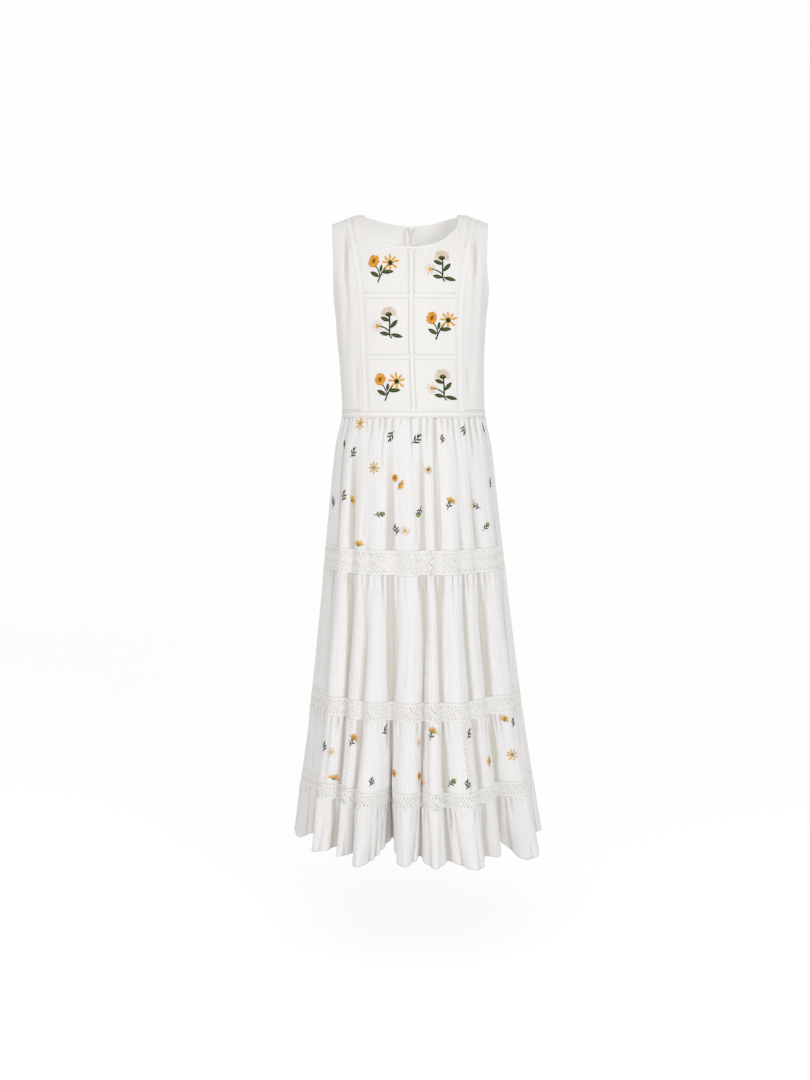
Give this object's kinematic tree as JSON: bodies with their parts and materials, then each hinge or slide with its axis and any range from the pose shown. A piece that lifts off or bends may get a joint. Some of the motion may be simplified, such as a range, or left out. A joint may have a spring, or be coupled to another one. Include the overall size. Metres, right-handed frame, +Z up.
{
  "type": "midi dress",
  "caption": "Sleeveless midi dress with a round neck, a bodice of embroidered squares, gathered tiers, lace insertions, a ruffled hem and a back zip.",
  "frame": {"origin": "midway between the two high shoulder points, where the shoulder seams meet the neck, on the wearer's middle", "axes": "+Z up along the hanging dress, front towards -Y, wearer's left towards +X"},
  "size_m": [0.5326, 0.5085, 1.3013],
  "materials": {
    "striped_cotton": "matt",
    "lace": "matt",
    "ladder_trim": "matt",
    "waist_trim": "matt",
    "binding": "matt",
    "embroidery": "silky",
    "zip_tape": "matt",
    "zip_coil": "satin",
    "zip_metal": "satin"
  },
  "bodies": {
    "dress": {"centre_trim": "ladder_trim", "front_square_1_left": "striped_cotton", "front_square_2_left": "striped_cotton", "front_square_3_left": "striped_cotton", "front_square_1_right": "striped_cotton", "front_square_2_right": "striped_cotton", "front_square_3_right": "striped_cotton", "cross_trim_1_left": "ladder_trim", "cross_trim_2_left": "ladder_trim", "cross_trim_1_right": "ladder_trim", "cross_trim_2_right": "ladder_trim", "edge_trim_left": "ladder_trim", "edge_trim_right": "ladder_trim", "side_front_left": "striped_cotton", "side_front_right": "striped_cotton", "back_left": "striped_cotton", "back_right": "striped_cotton", "neck_binding_front": "binding", "neck_binding_back_left": "binding", "neck_binding_back_right": "binding", "waist_trim_front": "waist_trim", "waist_trim_back_left": "waist_trim", "waist_trim_back_right": "waist_trim", "tier_1_front": "striped_cotton", "tier_1_back_left": "striped_cotton", "tier_1_back_right": "striped_cotton", "lace_1_front": "lace", "lace_1_back": "lace", "tier_2_front": "striped_cotton", "tier_2_back": "striped_cotton", "lace_2_front": "lace", "lace_2_back": "lace", "tier_3_front": "striped_cotton", "tier_3_back": "striped_cotton", "lace_3_front": "lace", "lace_3_back": "lace", "ruffle_front": "striped_cotton", "ruffle_back": "striped_cotton", "zip_tape": "zip_tape", "zip_coil": "zip_coil", "zip_slider": "zip_metal"},
    "pull_tab": {"zip_pull_tab": "zip_metal"}
  },
  "joints": [
    {"name": "pull_tab_hinge", "type": "hinge", "parent": "dress", "child": "pull_tab", "pos_m": [0, 0.07465, -0.03877], "axis": [1, 0, 0], "range_deg": [0, 160]}
  ]
}
